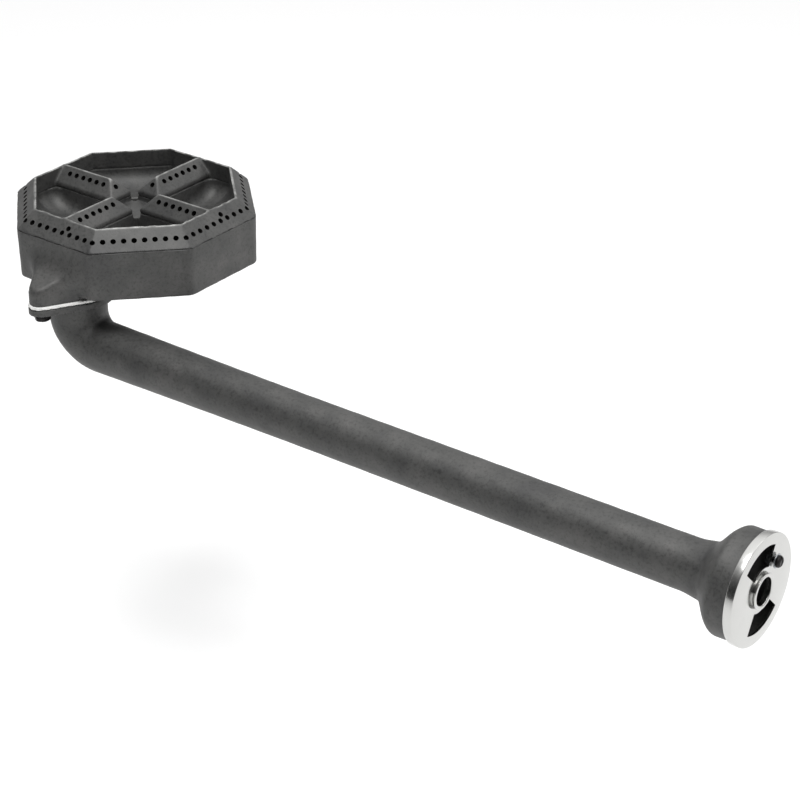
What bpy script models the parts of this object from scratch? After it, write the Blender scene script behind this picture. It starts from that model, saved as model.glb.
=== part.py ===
"""Open-top gas burner: octagonal ported head, mixer tube with elbow and bell, rotary air shutter.

Frame: +Z up, origin in the middle of the head's flat underside, mixer tube along +X. Metres.
"""

from math import asin, cos, hypot, pi, radians, sin, tan

import bmesh
import bpy
from mathutils import Matrix, Vector

# Clearance left between pieces that touch
GAP = 0.0003

# Head: an octagon with walls facing +-X, +-Y and the diagonals
HEAD_FLATS = 0.178
HEAD_DRAFT = 0.0008
HEAD_WALL_HEIGHT = 0.038
HEAD_FLOOR = 0.005
CENTRE_FLOOR = 0.034
CAST_WALL = 0.0045
BEVEL_HEIGHT = 0.0143
BEVEL_RUN = 0.0145
RIDGE_LAND = 0.0010

# Arms that run inwards from the ring, and the open quarters between them
ARM_HALF_WIDTH = 0.011
ARM_SKIRT = 0.003
ARM_STEP_UP = 0.001
ARM_DRAFT = 0.002
NOSE_FOOT = 0.014
CORNER_FILLET = 0.009
QUARTER_FLOOR_INSET = 0.0235

# Burner ports
PORT_DIAMETER = 0.0036
PORTS_PER_SIDE = 9
PORT_DROP = 0.545
CARRY_PORT_DROP = 0.33
ARM_PORTS = 6
ARM_PORT_PITCH = 0.0070
ARM_PORT_DROP = 0.40
PORT_SIDES = 6

# Lip that centres the port cap in the trough
LIP_DEPTH = 0.003
LIP_THICKNESS = 0.0022

# Inlet, flange and gasket
INLET_INSET = 0.0214
PAD_DROP = 0.0042
PAD_RADIUS = 0.029
LUG_RADIUS = 0.010
PAD_SETBACK = 0.0015
LUG_OFFSET = 0.037
BOSS_TOP = 0.021
BOSS_HALF_WIDTH = 0.024
BOSS_UPRIGHT = 0.0095
BOSS_SHOULDER = 0.0063
GASKET_THICKNESS = 0.0022
FLANGE_THICKNESS = 0.0056

# Mixer tube
TUBE_DROP = 0.0484
ELBOW_RADIUS = 0.0245
ELBOW_OUTER = 0.0222
TUBE_START_OUTER = 0.0200
TUBE_OUTER = 0.0181
TUBE_WALL = 0.0038
ELBOW_END = 0.030
TAPER_END = 0.233
TUBE_REACH = 0.5855
BELL_LENGTH = 0.0312
BELL_FLARE = 0.019
MOUTH_RADIUS = 0.0383
SWELL_SETBACK = 0.016
SWELL_LENGTH = 0.026
SWELL_SHARE = 0.15

# Plated mouth cap and air shutter
CAP_SHEET = 0.0012
CAP_BAND_LENGTH = 0.0058
SHUTTER_SHEET = 0.0010
SHUTTER_RIM = 0.0022
WINDOW_CENTRE = radians(98.5)
WINDOW_HALF_ANGLE = radians(36.5)
WINDOW_INNER = 0.0155
WINDOW_OUTER = 0.0304
HOOD_HOLE = 0.0095
EYELET_WALL = 0.0011
EYELET_FLANGE = 0.0124
EYELET_FLANGE_THICKNESS = 0.0008

# Shutter lock screw, in the arc slot at the end of the upper window
LOCK_RADIUS = 0.0210
LOCK_ANGLE = radians(46)
LOCK_SHANK = 0.0020
LOCK_HEAD = 0.0041
LOCK_HEAD_HEIGHT = 0.0026
LOCK_SLOT_WIDTH = 0.0010
LOCK_WASHER_THICKNESS = 0.0006
LOCK_NUT_FLATS = 0.0070
LOCK_NUT_HEIGHT = 0.0032
ARC_SLOT_END = radians(22.5)
ARC_SLOT_HALF_WIDTH = 0.0027

# Flange screws
SCREW_RADIUS = 0.00318
SCREW_FLATS = 0.0111
SCREW_HEAD_HEIGHT = 0.0036
SCREW_GRIP = 0.0075
SCREW_CLEARANCE = 0.0004
WASHER_THICKNESS = 0.0012
WASHER_RADIUS = 0.0060

# Facets round a turned piece
ROUND = 36
TUBE_SIDES = 24
SMALL_ROUND = 16

# Places worked out from the sizes above
HEAD_APOTHEM = HEAD_FLATS / 2
RIDGE_APOTHEM = HEAD_APOTHEM - BEVEL_RUN
INNER_APOTHEM = RIDGE_APOTHEM - RIDGE_LAND
SEAM_Z = HEAD_WALL_HEIGHT
CAP_Z = SEAM_Z + GAP
RIDGE_Z = SEAM_Z + BEVEL_HEIGHT
BEVEL_SLOPE = (RIDGE_Z - CAP_Z) / BEVEL_RUN
ARM_TOP_Z = RIDGE_Z + ARM_STEP_UP
ARM_RISE = ARM_TOP_Z - CAP_Z - ARM_SKIRT
ARM_SLOPE = ARM_RISE / ARM_HALF_WIDTH
ARM_WALL = CAST_WALL * 0.85
INLET_Y = -(HEAD_APOTHEM - INLET_INSET)
INLET_BORE = ELBOW_OUTER - TUBE_WALL - 0.0009
GASKET_TOP = -PAD_DROP - GAP
FLANGE_TOP = GASKET_TOP - GASKET_THICKNESS - GAP
FLANGE_BOTTOM = FLANGE_TOP - FLANGE_THICKNESS
SHUTTER_FRONT = TUBE_REACH
SHUTTER_BACK = SHUTTER_FRONT - SHUTTER_RIM
CAP_FRONT = SHUTTER_BACK - GAP
CAP_BACK = CAP_FRONT - CAP_SHEET
BELL_FACE = CAP_BACK - GAP
BAND_END = CAP_FRONT - CAP_BAND_LENGTH
BELL_RIM_RADIUS = MOUTH_RADIUS - CAP_SHEET - GAP
BELL_START = BAND_END - BELL_LENGTH
MOUTH_CENTRE = Vector((0, INLET_Y, -TUBE_DROP))


def clear_scene():
    for old in list(bpy.data.objects):
        bpy.data.objects.remove(old)


def finish_name(name, colour, metallic, roughness):
    finish = bpy.data.materials.new(name)
    finish.use_nodes = True
    shader = finish.node_tree.nodes["Principled BSDF"]
    shader.inputs["Base Color"].default_value = (*colour, 1)
    shader.inputs["Metallic"].default_value = metallic
    shader.inputs["Roughness"].default_value = roughness
    return finish


def as_object(name, mesh, finish=None, at=(0, 0, 0)):
    """An object from a bmesh, its faces pointing out, shaded smooth except at real edges."""
    bmesh.ops.recalc_face_normals(mesh, faces=mesh.faces)
    data = bpy.data.meshes.new(name)
    mesh.to_mesh(data)
    mesh.free()
    data.shade_smooth()
    data.set_sharp_from_angle(angle=radians(32))
    made = bpy.data.objects.new(name, data)
    made.location = at
    bpy.context.scene.collection.objects.link(made)
    if finish:
        data.materials.append(finish)
    return made


def tool(name, mesh, at=(0, 0, 0)):
    """A solid that only cuts or joins others, so it is no piece of the burner."""
    made = as_object(name, mesh, at=at)
    made.hide_render = True
    made.display_type = "WIRE"
    return made


def combine(target, other, operation):
    step = target.modifiers.new(other.name, "BOOLEAN")
    step.object = other
    step.operation = operation
    step.solver = "EXACT"


def cut(target, other):
    combine(target, other, "DIFFERENCE")


def fuse(target, other):
    combine(target, other, "UNION")


def loft(rings, mesh=None):
    """A closed solid through rings that all have the same number of points."""
    mesh = mesh or bmesh.new()
    rows = [[mesh.verts.new(point) for point in ring] for ring in rings]
    count = len(rows[0])
    for lower, upper in zip(rows, rows[1:]):
        for i in range(count):
            j = (i + 1) % count
            mesh.faces.new((lower[i], lower[j], upper[j], upper[i]))
    mesh.faces.new(rows[0][::-1])
    mesh.faces.new(rows[-1])
    return mesh


def prism(outline, low, high):
    return loft([[(x, y, z) for x, y in outline] for z in (low, high)])


def hull(points):
    mesh = bmesh.new()
    for point in points:
        mesh.verts.new(point)
    found = bmesh.ops.convex_hull(mesh, input=mesh.verts)
    unused = [v for v in found["geom_interior"] if isinstance(v, bmesh.types.BMVert)]
    bmesh.ops.delete(mesh, geom=unused, context="VERTS")
    return mesh


def turned(profile, sides, along="X"):
    """Turns a closed outline of (along, radius) points; a point at radius 0 is a pole."""
    mesh = bmesh.new()
    rows = []
    for run, radius in profile:
        if radius == 0:
            rows.append([mesh.verts.new((run, 0, 0) if along == "X" else (0, 0, run))])
            continue
        row = []
        for i in range(sides):
            a = 2 * pi * i / sides
            across, up = radius * cos(a), radius * sin(a)
            row.append(mesh.verts.new((run, across, up) if along == "X" else (across, up, run)))
        rows.append(row)
    open_ended = len(rows[0]) == 1
    for first, second in zip(rows, rows[1:] if open_ended else rows[1:] + rows[:1]):
        for i in range(sides):
            j = (i + 1) % sides
            corners = [first[i % len(first)], first[j % len(first)]]
            corners += [second[j % len(second)], second[i % len(second)]]
            corners = list(dict.fromkeys(corners))
            if len(corners) > 2:
                mesh.faces.new(corners)
    return mesh


def octagon(apothem):
    reach = apothem / cos(pi / 8)
    return [(reach * cos(a), reach * sin(a)) for a in (pi / 8 + k * pi / 4 for k in range(8))]


def rounded(corner, before, after, radius, steps=4):
    """Points of a fillet that replaces a square corner of an outline."""
    c, b, a = Vector(corner), Vector(before), Vector(after)
    to_b, to_a = (b - c).normalized(), (a - c).normalized()
    centre = c + (to_b + to_a) * radius
    start, end = c + to_b * radius - centre, c + to_a * radius - centre
    return [
        tuple(centre + start * cos(t) + end * sin(t))
        for t in (i / steps * pi / 2 for i in range(steps + 1))
    ]


def quarter_outline(apothem, arm, fillet):
    """One open quarter between two arms: x and y over arm, inside the octagon."""
    side = apothem * tan(pi / 8)
    near, far, high = (arm, arm), (apothem, arm), (arm, apothem)
    # A large fillet is limited by the straight run of wall beside it
    fillet = min(fillet, (side - arm) * 0.9)
    points = [near]
    points += rounded(far, near, (apothem, side), fillet)
    points += [(apothem, side), (side, apothem)]
    points += rounded(high, (side, apothem), near, fillet)
    return points


def quarter_loft(levels, offset, quarter):
    """The open quarter through (z, apothem, arm) levels, grown all round by offset, turned into place."""
    turn = Matrix.Rotation(quarter * pi / 2, 3, "Z")
    rings = []
    for z, apothem, arm in levels:
        outline = quarter_outline(apothem + offset, arm - offset, CORNER_FILLET + offset)
        rings.append([turn @ Vector((x, y, z)) for x, y in outline])
    return loft(rings)


def quarter_levels(low, high):
    """The quarter's wall: upright near the ridge, then curving in under the flame to the floor."""
    waist = INNER_APOTHEM - QUARTER_FLOOR_INSET
    foot_arm = ARM_HALF_WIDTH + ARM_DRAFT
    turn_low, turn_high = SEAM_Z * 0.58, SEAM_Z * 0.95
    levels = [(low, waist, foot_arm), (turn_low - 0.004, waist, foot_arm)]
    steps = 5
    for i in range(steps + 1):
        t = i / steps * pi / 2
        apothem = waist + QUARTER_FLOOR_INSET * sin(t)
        z = turn_low + (turn_high - turn_low) * (1 - cos(t))
        levels.append((z, apothem, foot_arm - ARM_DRAFT * (i + 1) / (steps + 1)))
    levels.append((high, INNER_APOTHEM, ARM_HALF_WIDTH))
    return levels


def lozenge(centre_radius, lug_radius, lug_offset, steps=7):
    """Flange outline: two small lug circles and one large circle joined by tangents, long along Y."""
    side = asin((centre_radius - lug_radius) / lug_offset)
    points = []
    for sign in (1, -1):
        for i in range(steps + 1):
            a = side + (pi - 2 * side) * i / steps
            points.append((sign * lug_radius * cos(a), sign * (lug_offset + lug_radius * sin(a))))
        for i in range(3):
            a = pi - side + 2 * side * (i + 0.5) / 3
            points.append((sign * centre_radius * cos(a), sign * centre_radius * sin(a)))
    return points


def pad_outline(shrink=0.0):
    return [
        (x, y + INLET_Y)
        for x, y in lozenge(PAD_RADIUS - shrink, LUG_RADIUS - shrink, LUG_OFFSET)
    ]


def inlet_bore(name, low, high):
    bore = turned([(low, 0), (low, INLET_BORE), (high, INLET_BORE), (high, 0)], TUBE_SIDES, "Z")
    return tool(name, bore, (0, INLET_Y, 0))


def screw_places():
    return {"outer": INLET_Y - LUG_OFFSET, "inner": INLET_Y + LUG_OFFSET}


def screw_hole(name, y, low, high):
    radius = SCREW_RADIUS + SCREW_CLEARANCE
    mesh = turned([(low, 0), (low, radius), (high, radius), (high, 0)], SMALL_ROUND, "Z")
    return tool(name, mesh, (0, y, 0))


def head_body(finish):
    """One casting, as three nodes so that its collision stays open: floor, outer wall, bowls."""
    middle = HEAD_APOTHEM - CAST_WALL * 1.8
    over, below = SEAM_Z + 0.02, -PAD_DROP - 0.02
    wide = [(HEAD_FLATS, -HEAD_FLATS), (HEAD_FLATS, HEAD_FLATS)]
    wide += [(-HEAD_FLATS, HEAD_FLATS), (-HEAD_FLATS, -HEAD_FLATS)]
    split = HEAD_FLOOR + GAP / 2

    floor = head_casting("head_floor", finish)
    cut(floor, tool("head_above", prism(wide, split - GAP, over)))

    wall = head_casting("head_wall", finish)
    cut(wall, tool("wall_below", prism(wide, below, split)))
    cut(wall, tool("wall_inside", prism(octagon(middle), split - 0.001, over)))

    bowls = head_casting("head_bowls", finish)
    cut(bowls, tool("bowls_below", prism(wide, below, split)))
    rim = tool("bowls_outside", prism(wide, split - 0.001, over))
    cut(rim, tool("bowls_kept", prism(octagon(middle), split - 0.002, over + 0.001)))
    cut(bowls, rim)


def head_casting(name, finish):
    walls = [[(x, y, 0) for x, y in octagon(HEAD_APOTHEM - HEAD_DRAFT)]]
    walls.append([(x, y, SEAM_Z) for x, y in octagon(HEAD_APOTHEM)])
    body = as_object(name, loft(walls), finish)

    over = SEAM_Z + 0.002
    trough = [[(x, y, HEAD_FLOOR) for x, y in octagon(HEAD_APOTHEM - HEAD_DRAFT - CAST_WALL)]]
    trough.append([(x, y, over) for x, y in octagon(HEAD_APOTHEM - CAST_WALL)])
    channel = tool(f"{name}_channel", loft(trough))
    for quarter in range(4):
        levels = quarter_levels(HEAD_FLOOR - 0.001, over + 0.001)
        core = tool(f"{name}_core_{quarter}", quarter_loft(levels, ARM_WALL, quarter))
        cut(channel, core)
    half = NOSE_FOOT + ARM_WALL
    square = [(half, -half), (half, half), (-half, half), (-half, -half)]
    cut(channel, tool(f"{name}_core_centre", prism(square, CENTRE_FLOOR - CAST_WALL, over + 0.001)))
    cut(body, channel)

    for quarter in range(4):
        levels = quarter_levels(-0.002, over)
        cut(body, tool(f"{name}_quarter_{quarter}", quarter_loft(levels, 0, quarter)))
    half = NOSE_FOOT
    square = [(half, -half), (half, half), (-half, half), (-half, -half)]
    cut(body, tool(f"{name}_centre", prism(square, CENTRE_FLOOR, over)))

    pad = prism(pad_outline(PAD_SETBACK), -PAD_DROP, HEAD_FLOOR - 0.001)
    fuse(body, tool(f"{name}_inlet_pad", pad))
    fuse(body, tool(f"{name}_screw_boss", screw_boss()))
    cut(body, inlet_bore(f"{name}_inlet", -PAD_DROP - 0.001, HEAD_FLOOR + 0.001))
    for place, y in screw_places().items():
        depth = -PAD_DROP + SCREW_GRIP + 0.001
        cut(body, screw_hole(f"{name}_tapped_{place}", y, -PAD_DROP - 0.001, depth))
    return body


def screw_boss():
    """The boss round the outer screw: it bulges out of the wall and fades into it upwards."""
    root = -(HEAD_APOTHEM - HEAD_DRAFT - CAST_WALL * 0.6)
    lug = INLET_Y - LUG_OFFSET
    radius = LUG_RADIUS - PAD_SETBACK - GAP
    low = -PAD_DROP + GAP
    points = []
    for i in range(9):
        a = pi + pi * i / 8
        for z in (low, BOSS_UPRIGHT):
            points.append((radius * cos(a), lug + radius * sin(a), z))
    for side in (1, -1):
        points.append((side * BOSS_HALF_WIDTH, root, low))
        points.append((side * BOSS_HALF_WIDTH, root, BOSS_SHOULDER))
        points.append((side * radius, root, BOSS_TOP))
    return hull(points)


def arm_points(half, low, skirt, top, foot, end, slope, end_top):
    """A gabled arm along +X with a hipped nose; its ridge dips to end_top where it meets the ring."""
    return [
        point
        for side in (1, -1)
        for point in (
            (foot, side * half, low),
            (foot, side * half, skirt),
            (end, side * half, low),
            (end, side * half, skirt),
            (foot + (top - skirt) / slope, 0, top),
            (end - (top - end_top) * 3, 0, top),
            (end, 0, end_top),
        )
    ]


def turned_hull(points, quarter):
    turn = Matrix.Rotation(quarter * pi / 2, 3, "Z")
    return hull([turn @ Vector(point) for point in points])


def port_cap(finish):
    rings = [[(x, y, CAP_Z) for x, y in octagon(HEAD_APOTHEM)]]
    rings.append([(x, y, RIDGE_Z) for x, y in octagon(RIDGE_APOTHEM)])
    cap = as_object("port_cap", loft(rings), finish)
    cut(cap, tool("cap_middle", prism(octagon(INNER_APOTHEM), CAP_Z - 0.001, RIDGE_Z + 0.001)))

    skirt = CAP_Z + ARM_SKIRT
    # The arm's end runs into the ring's wall, where the roof over it is still whole
    end = RIDGE_APOTHEM - RIDGE_LAND / 2
    sizes = (ARM_HALF_WIDTH, CAP_Z, skirt, ARM_TOP_Z, NOSE_FOOT, end, ARM_SLOPE)
    outer = arm_points(*sizes, RIDGE_Z - GAP)
    for quarter in range(4):
        fuse(cap, tool(f"cap_arm_{quarter}", turned_hull(outer, quarter)))

    roof = CAST_WALL * hypot(1, BEVEL_SLOPE)
    under = CAP_Z - 0.001
    foot_apothem = HEAD_APOTHEM - (roof + under - CAP_Z) / BEVEL_SLOPE
    inner = INNER_APOTHEM + CAST_WALL * 0.65
    top = CAP_Z + (HEAD_APOTHEM - inner) * BEVEL_SLOPE - roof
    hollow = [[(x, y, under) for x, y in octagon(foot_apothem)]]
    hollow.append([(x, y, top) for x, y in octagon(inner)])
    ring_hollow = tool("cap_ring_hollow", loft(hollow))
    middle = prism(octagon(inner - GAP), under - 0.001, top + 0.001)
    cut(ring_hollow, tool("cap_ring_core", middle))
    cut(cap, ring_hollow)

    thin = ARM_WALL * hypot(1, ARM_SLOPE)
    half = ARM_HALF_WIDTH - ARM_WALL
    low_skirt = skirt + ARM_WALL * ARM_SLOPE - thin
    foot = NOSE_FOOT + ARM_WALL
    reach = inner + 0.002
    arm_top = ARM_TOP_Z - thin
    inside = arm_points(half, under, low_skirt, arm_top, foot, reach, ARM_SLOPE, arm_top)
    for quarter in range(4):
        cut(cap, tool(f"cap_arm_hollow_{quarter}", turned_hull(inside, quarter)))

    lip_out = HEAD_APOTHEM - CAST_WALL - GAP - 0.0002
    lip = tool("cap_lip", prism(octagon(lip_out), CAP_Z - LIP_DEPTH, CAP_Z + 0.0006))
    inner_lip = prism(octagon(lip_out - LIP_THICKNESS), CAP_Z - 0.01, CAP_Z + 0.001)
    cut(lip, tool("cap_lip_bore", inner_lip))
    fuse(cap, lip)
    for row, mesh in enumerate(ports()):
        cut(cap, tool(f"cap_ports_{row}", mesh))
    return cap


def drill(mesh, place, normal):
    """One port: a short hole through the roof, square to its surface."""
    depth = CAST_WALL * 1.12
    turn = Vector((0, 0, 1)).rotation_difference(normal).to_matrix()
    rings = []
    for run in (-depth, 0.002):
        ring = []
        for i in range(PORT_SIDES):
            a = 2 * pi * i / PORT_SIDES
            radius = PORT_DIAMETER / 2
            ring.append(place + turn @ Vector((radius * cos(a), radius * sin(a), run)))
        rings.append(ring)
    loft(rings, mesh)


def ports():
    """A row round the bevel with one port on each corner, carry-over ports, and rows on the arms.

    The two sides of an arm are separate cutters, since their drills can cross under its ridge.
    """
    mesh, sides = bmesh.new(), {1: bmesh.new(), -1: bmesh.new()}
    row = RIDGE_APOTHEM + BEVEL_RUN * PORT_DROP
    row_z = CAP_Z + (HEAD_APOTHEM - row) * BEVEL_SLOPE
    pitch = 2 * row * tan(pi / 8) / PORTS_PER_SIDE
    carry = RIDGE_APOTHEM + BEVEL_RUN * CARRY_PORT_DROP
    carry_z = CAP_Z + (HEAD_APOTHEM - carry) * BEVEL_SLOPE
    bevel = Vector((BEVEL_SLOPE, 0, 1)).normalized()
    for face in range(8):
        turn = Matrix.Rotation(face * pi / 4, 3, "Z")
        for i in range(1, PORTS_PER_SIDE):
            across = (i - PORTS_PER_SIDE / 2) * pitch
            drill(mesh, turn @ Vector((row, across, row_z)), turn @ bevel)
        corner = Matrix.Rotation((face + 0.5) * pi / 4, 3, "Z")
        drill(mesh, corner @ Vector((row / cos(pi / 8), 0, row_z)), corner @ bevel)
        if face % 2 == 0:
            drill(mesh, turn @ Vector((carry, pitch, carry_z)), turn @ bevel)

    gable_half = ARM_HALF_WIDTH * ARM_PORT_DROP
    gable_z = ARM_TOP_Z - gable_half * ARM_SLOPE
    hip = ARM_RISE / ARM_SLOPE
    for quarter in range(4):
        turn = Matrix.Rotation(quarter * pi / 2, 3, "Z")
        for sign in (1, -1):
            gable = Vector((0, sign * ARM_SLOPE, 1)).normalized()
            for i in range(ARM_PORTS):
                run = NOSE_FOOT + hip + ARM_PORT_PITCH * (i + 0.5)
                drill(sides[sign], turn @ Vector((run, sign * gable_half, gable_z)), turn @ gable)
        nose = Vector((-ARM_SLOPE, 0, 1)).normalized()
        place = Vector((NOSE_FOOT + hip / 2, 0, ARM_TOP_Z - ARM_RISE / 2))
        drill(mesh, turn @ place, turn @ nose)
    return mesh, sides[1], sides[-1]


def flange_gasket(finish):
    low = GASKET_TOP - GASKET_THICKNESS
    gasket = as_object("flange_gasket", prism(pad_outline(-0.0004), low, GASKET_TOP), finish)
    cut(gasket, inlet_bore("gasket_bore", low - 0.001, GASKET_TOP + 0.001))
    for place, y in screw_places().items():
        cut(gasket, screw_hole(f"gasket_{place}", y, low - 0.001, GASKET_TOP + 0.001))
    return gasket


def eased_step(t):
    t = min(1, max(0, t))
    return t * t * (3 - 2 * t)


def outer_radius(x):
    """Outer radius of the straight part: a long taper, a slow swell, and the bell's flare."""
    t = max(0, (TAPER_END - x) / (TAPER_END - ELBOW_RADIUS))
    tube = TUBE_OUTER + (TUBE_START_OUTER - TUBE_OUTER) * t ** 1.5
    swell = eased_step((x - BELL_START + SWELL_SETBACK) / SWELL_LENGTH)
    flare = eased_step((x - BELL_START) / BELL_FLARE)
    opened = SWELL_SHARE * swell + (1 - SWELL_SHARE) * flare
    return tube + (BELL_RIM_RADIUS - TUBE_OUTER) * opened


def elbow_stations():
    """(point, direction, outer radius) from inside the flange, down and round the elbow."""
    down = Vector((0, 0, -1))
    stations = []
    for z in (FLANGE_TOP - FLANGE_THICKNESS / 2, FLANGE_BOTTOM - 0.001):
        stations.append((Vector((0, INLET_Y, z)), down, ELBOW_OUTER))
    bends = 8
    for i in range(1, bends + 1):
        a = pi / 2 * i / bends
        run, rise = ELBOW_RADIUS * (1 - cos(a)), ELBOW_RADIUS * (1 - sin(a))
        radius = ELBOW_OUTER + (TUBE_START_OUTER - ELBOW_OUTER) * i / bends
        point = MOUTH_CENTRE + Vector((run, 0, rise))
        stations.append((point, Vector((sin(a), 0, -cos(a))), radius))
    return stations + straight_stations([ELBOW_END])


def straight_stations(places):
    ahead = Vector((1, 0, 0))
    return [(MOUTH_CENTRE + Vector((x, 0, 0)), ahead, outer_radius(x)) for x in places]


def evenly(low, high, count):
    return [low + (high - low) * i / count for i in range(count + 1)]


def tube_ring(point, direction, radius):
    across = Vector((0, 1, 0))
    up = across.cross(direction)
    ring = []
    for i in range(TUBE_SIDES):
        a = 2 * pi * i / TUBE_SIDES
        ring.append(point + radius * (across * cos(a) + up * sin(a)))
    return ring


def sleeve(name, stations, walls, finish):
    """A tube through those stations, with that wall at each; its bore runs out of both ends."""
    bore = [(point, along, radius - wall) for (point, along, radius), wall in zip(stations, walls)]
    point, along, radius = bore[0]
    bore.insert(0, (point - along * 0.001, along, radius))
    point, along, radius = bore[-1]
    bore.append((point + along * 0.001, along, radius))
    made = as_object(name, loft([tube_ring(*station) for station in stations]), finish)
    return made, tool(f"{name}_bore", loft([tube_ring(*station) for station in bore]))


def tube_casting(finish):
    """One casting, as three nodes so that its bore stays open: flange and elbow, tube, bell."""
    stations = elbow_stations()
    elbow = as_object("inlet_elbow", loft([tube_ring(*station) for station in stations]), finish)
    fuse(elbow, tool("tube_flange", prism(pad_outline(), FLANGE_BOTTOM, FLANGE_TOP)))
    inlet = [Vector((0, INLET_Y, z)) for z in (FLANGE_TOP + 0.001, FLANGE_BOTTOM - 0.001)]
    bore = [tube_ring(point, Vector((0, 0, -1)), INLET_BORE) for point in inlet]
    bore += [tube_ring(point, along, radius - TUBE_WALL) for point, along, radius in stations[2:]]
    point, along, radius = stations[-1]
    bore.append(tube_ring(point + along * 0.001, along, radius - TUBE_WALL))
    cut(elbow, tool("elbow_bore", loft(bore)))
    for place, y in screw_places().items():
        cut(elbow, screw_hole(f"flange_{place}", y, FLANGE_BOTTOM - 0.001, FLANGE_TOP + 0.001))

    places = evenly(ELBOW_END + GAP, TAPER_END, 4)
    places += evenly(BELL_START - SWELL_SETBACK, BELL_START - GAP, 3)
    tube, bore = sleeve("mixer_tube", straight_stations(places), [TUBE_WALL] * len(places), finish)
    cut(tube, bore)

    places = evenly(BELL_START, BELL_START + BELL_FLARE, 8) + [BELL_FACE]
    thinning = [TUBE_WALL * (1 - 0.3 * i / (len(places) - 1)) for i in range(len(places))]
    bell, bore = sleeve("bell_mouth", straight_stations(places), thinning, finish)
    cut(bell, bore)


def hexagon(flats):
    reach = flats / 2 / cos(pi / 6)
    return [(reach * cos(a), reach * sin(a)) for a in (k * pi / 3 for k in range(6))]


def flange_fasteners(finish, washer_finish):
    washer_top = FLANGE_BOTTOM - GAP
    head_top = washer_top - WASHER_THICKNESS - GAP
    tip = -PAD_DROP + SCREW_GRIP - 0.0005
    for place, y in screw_places().items():
        bore = SCREW_RADIUS + SCREW_CLEARANCE
        low = washer_top - WASHER_THICKNESS
        outline = [(low, bore), (low, WASHER_RADIUS)]
        outline += [(washer_top, WASHER_RADIUS), (washer_top, bore)]
        as_object(f"flange_washer_{place}", turned(outline, SMALL_ROUND, "Z"), washer_finish, (0, y, 0))
        head = prism(hexagon(SCREW_FLATS), head_top - SCREW_HEAD_HEIGHT, head_top)
        screw = as_object(f"flange_screw_{place}", head, finish, (0, y, 0))
        shank = [(head_top - 0.001, 0), (head_top - 0.001, SCREW_RADIUS)]
        shank += [(tip - 0.0008, SCREW_RADIUS), (tip, SCREW_RADIUS * 0.75), (tip, 0)]
        fuse(screw, tool(f"shank_{place}", turned(shank, SMALL_ROUND, "Z"), (0, y, 0)))


def sector_outline(centre, half_angle, inner, outer, steps=10):
    angles = [centre - half_angle + 2 * half_angle * i / steps for i in range(steps + 1)]
    points = [(outer * cos(a), outer * sin(a)) for a in angles]
    points += [(inner * cos(a), inner * sin(a)) for a in reversed(angles)]
    return points


def upright(outline, back, front, at):
    """A prism along X from an outline of (y, z) points."""
    return loft([[Vector((x, y, z)) + at for y, z in outline] for x in (back, front)])


def windows(name, target, half_angle, inner, outer):
    for side, centre in enumerate((WINDOW_CENTRE, WINDOW_CENTRE + pi)):
        outline = sector_outline(centre, half_angle, inner, outer)
        mesh = upright(outline, -0.02, 0.02, Vector((0, 0, 0)))
        place = MOUTH_CENTRE + Vector((CAP_FRONT, 0, 0))
        cut(target, tool(f"{name}_window_{side}", mesh, place))


def mouth_cap(finish):
    """Pressed cap: a band round the bell's rim and a plate across it with two windows."""
    bore = HOOD_HOLE + EYELET_WALL + GAP
    band_in = MOUTH_RADIUS - CAP_SHEET
    edge = CAP_SHEET * 0.6
    profile = [
        (CAP_BACK, bore),
        (CAP_BACK, band_in),
        (BAND_END, band_in),
        (BAND_END, MOUTH_RADIUS),
        (CAP_FRONT - edge, MOUTH_RADIUS),
        (CAP_FRONT, MOUTH_RADIUS - edge),
        (CAP_FRONT, bore),
    ]
    cap = as_object("mouth_cap", turned(profile, ROUND), finish, MOUTH_CENTRE)
    windows("cap", cap, WINDOW_HALF_ANGLE - radians(0.5), WINDOW_INNER, WINDOW_OUTER)
    radius = LOCK_SHANK + SCREW_CLEARANCE
    hole = [(-0.01, 0), (-0.01, radius), (0.01, radius), (0.01, 0)]
    cut(cap, tool("cap_lock_hole", turned(hole, SMALL_ROUND), lock_place(CAP_FRONT)))
    return cap


def lock_place(x):
    offset = Vector((x, LOCK_RADIUS * cos(LOCK_ANGLE), LOCK_RADIUS * sin(LOCK_ANGLE)))
    return MOUTH_CENTRE + offset


def air_shutter(finish):
    """Front disc with a rolled rim, two windows and the arc slot for the lock screw."""
    bore = HOOD_HOLE + EYELET_WALL + GAP
    rim, radius = SHUTTER_RIM, MOUTH_RADIUS
    profile = [
        (0, bore),
        (0, radius - 0.0010),
        (rim * 0.25, radius),
        (rim * 0.70, radius),
        (rim, radius - 0.0009),
        (rim, radius - 0.0024),
        (SHUTTER_SHEET, radius - 0.0040),
        (SHUTTER_SHEET, bore),
    ]
    place = MOUTH_CENTRE + Vector((SHUTTER_BACK, 0, 0))
    shutter = as_object("air_shutter", turned(profile, ROUND), finish, place)
    windows("shutter", shutter, WINDOW_HALF_ANGLE, WINDOW_INNER, WINDOW_OUTER)
    slot_start = WINDOW_CENTRE - WINDOW_HALF_ANGLE + radians(4)
    middle = (slot_start + ARC_SLOT_END) / 2
    inner, outer = LOCK_RADIUS - ARC_SLOT_HALF_WIDTH, LOCK_RADIUS + ARC_SLOT_HALF_WIDTH
    arc = sector_outline(middle, (slot_start - ARC_SLOT_END) / 2, inner, outer, 6)
    cut(shutter, tool("arc_slot", upright(arc, -0.02, 0.02, Vector((0, 0, 0))), place))
    end = Vector((0, LOCK_RADIUS * cos(ARC_SLOT_END), LOCK_RADIUS * sin(ARC_SLOT_END)))
    tip = [(-0.02, 0), (-0.02, ARC_SLOT_HALF_WIDTH), (0.02, ARC_SLOT_HALF_WIDTH), (0.02, 0)]
    cut(shutter, tool("arc_slot_end", turned(tip, SMALL_ROUND), place + end))
    return shutter


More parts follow.
